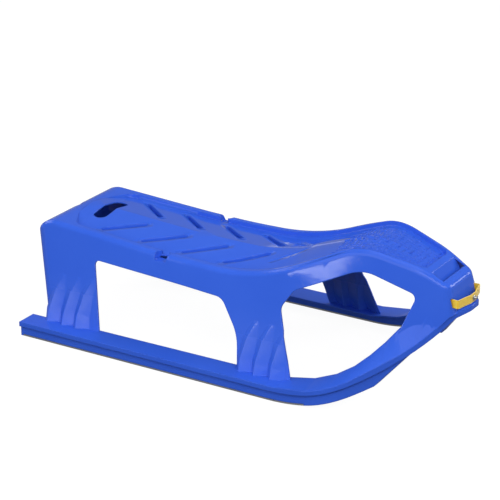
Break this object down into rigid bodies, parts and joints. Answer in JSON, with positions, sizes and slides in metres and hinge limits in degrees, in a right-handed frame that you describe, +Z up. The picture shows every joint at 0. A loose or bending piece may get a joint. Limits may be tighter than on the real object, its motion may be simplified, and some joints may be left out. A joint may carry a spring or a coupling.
{
  "type": "moulded plastic sled with steel runner strips",
  "caption": "Moulded plastic sled: raised open-sided seat on two runners that rise into a gripped nose, steel strips below, webbing tow loops at nose and tail.",
  "frame": {"origin": "on the floor, under the middle of the sled's length and width", "axes": "+X forwards to the nose, +Y to the sled's left, +Z up"},
  "size_m": [0.866, 0.41, 0.2598],
  "materials": {
    "blue_plastic": "glossy moulded royal blue",
    "strip_steel": "bare rolled steel strip",
    "yellow_webbing": "woven yellow webbing",
    "stud_steel": "plated steel"
  },
  "bodies": {
    "root": {"moulding": "blue_plastic", "strip_left": "strip_steel", "strip_right": "strip_steel", "front_strap": "yellow_webbing", "rear_strap": "yellow_webbing", "front_stud": "stud_steel", "rear_stud": "stud_steel"}
  },
  "joints": []
}
